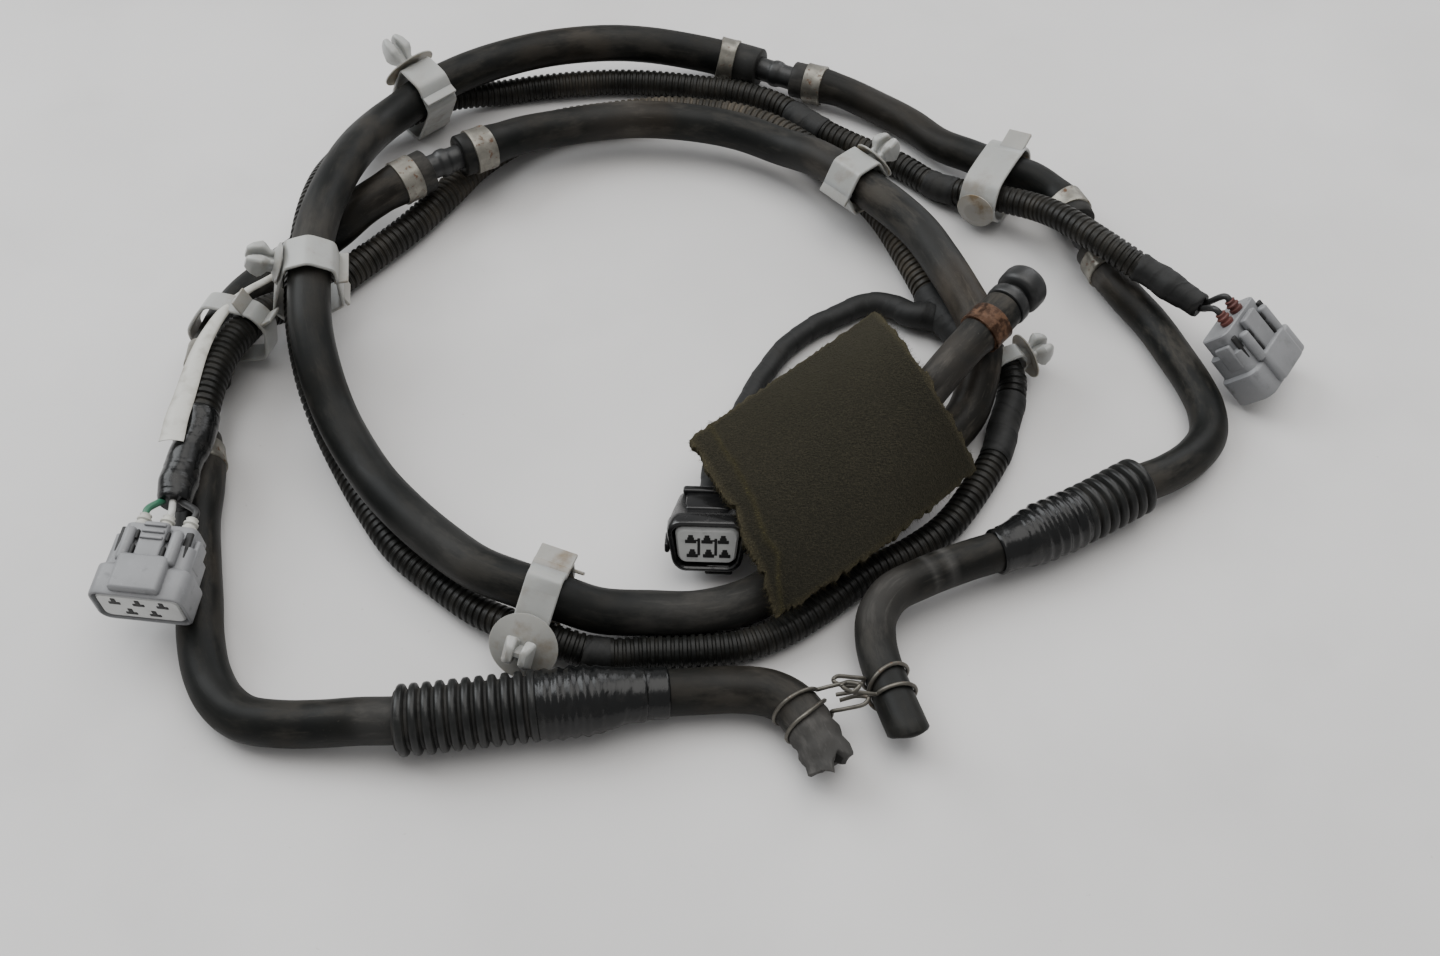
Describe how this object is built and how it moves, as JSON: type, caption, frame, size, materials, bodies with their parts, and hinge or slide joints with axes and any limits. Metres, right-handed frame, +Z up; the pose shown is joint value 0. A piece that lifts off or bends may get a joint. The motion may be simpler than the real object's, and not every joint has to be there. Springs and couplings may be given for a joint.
{
  "type": "wiring harness",
  "caption": "Coiled front-end hose and wiring harness of a vehicle: rubber hoses with crimped joints, ribbed conduits, push clips, three connectors and a felt pad.",
  "frame": {"origin": "middle of the footprint, on the table", "axes": "+X to the right of the coil seen from its hose ends, +Y away from the hose ends, +Z up"},
  "size_m": [0.3836, 0.323, 0.0498],
  "materials": {
    "hose_rubber": "matt",
    "conduit_plastic": "satin, ribbed",
    "harness_tape": "matt cloth tape",
    "glossy_tape": "glossy",
    "sleeve_plastic": "satin",
    "crimp_zinc": "dull zinc",
    "rusty_ring": "rusty",
    "spring_wire": "dull",
    "clip_nylon": "milky nylon, dirty",
    "connector_grey": "satin",
    "connector_insert": "satin",
    "connector_black": "glossy",
    "joint_plastic": "satin",
    "felt": "fuzzy felt",
    "seal_red": "matt",
    "seal_white": "matt",
    "wire_dark": "satin",
    "wire_green": "satin",
    "wire_white": "satin"
  },
  "bodies": {
    "root": {"branch_lead": "harness_tape", "clip_crossing": "clip_nylon", "clip_far_right": "clip_nylon", "clip_front": "clip_nylon", "clip_left_saddle": "clip_nylon", "clip_right": "clip_nylon", "clip_top_left": "clip_nylon", "clip_top_right": "clip_nylon", "conduit_left": "conduit_plastic", "conduit_right": "conduit_plastic", "connector_centre": "connector_black", "connector_centre_block": "connector_insert", "connector_left": "connector_grey", "connector_left_block": "connector_insert", "connector_right": "connector_grey", "connector_right_block": "connector_insert", "feed_fitting": "connector_black", "felt_pad": "felt", "hose_feed": "hose_rubber", "hose_left_end": "hose_rubber", "hose_left_inner": "hose_rubber", "hose_left_mid": "hose_rubber", "hose_right_end": "hose_rubber", "hose_right_mid": "hose_rubber", "hose_right_outer": "hose_rubber", "joint_left_lower": "joint_plastic", "joint_left_upper": "joint_plastic", "joint_right_lower": "joint_plastic", "joint_right_upper": "joint_plastic", "junction_tape": "harness_tape", "left_end_tape": "glossy_tape", "left_seal_1": "seal_white", "left_seal_2": "seal_white", "left_seal_3": "seal_white", "left_wire_1": "wire_green", "left_wire_2": "wire_white", "left_wire_3": "wire_dark", "right_lead_tape": "harness_tape", "right_seal_1": "seal_red", "right_seal_2": "seal_red", "right_wire_1": "wire_dark", "right_wire_2": "wire_dark", "ring_feed": "rusty_ring", "ring_left_end": "crimp_zinc", "ring_left_inner": "crimp_zinc", "ring_left_mid_lower": "crimp_zinc", "ring_left_mid_upper": "crimp_zinc", "ring_right_end": "crimp_zinc", "ring_right_mid_lower": "crimp_zinc", "ring_right_mid_upper": "crimp_zinc", "ring_right_outer": "crimp_zinc", "ring_tee_left": "crimp_zinc", "ring_tee_right": "crimp_zinc", "sleeve_left": "sleeve_plastic", "sleeve_right": "sleeve_plastic", "sleeve_tape_left": "glossy_tape", "sleeve_tape_right": "glossy_tape", "spring_clamp_left": "spring_wire", "spring_clamp_right": "spring_wire", "tee_fitting": "joint_plastic"}
  },
  "joints": []
}
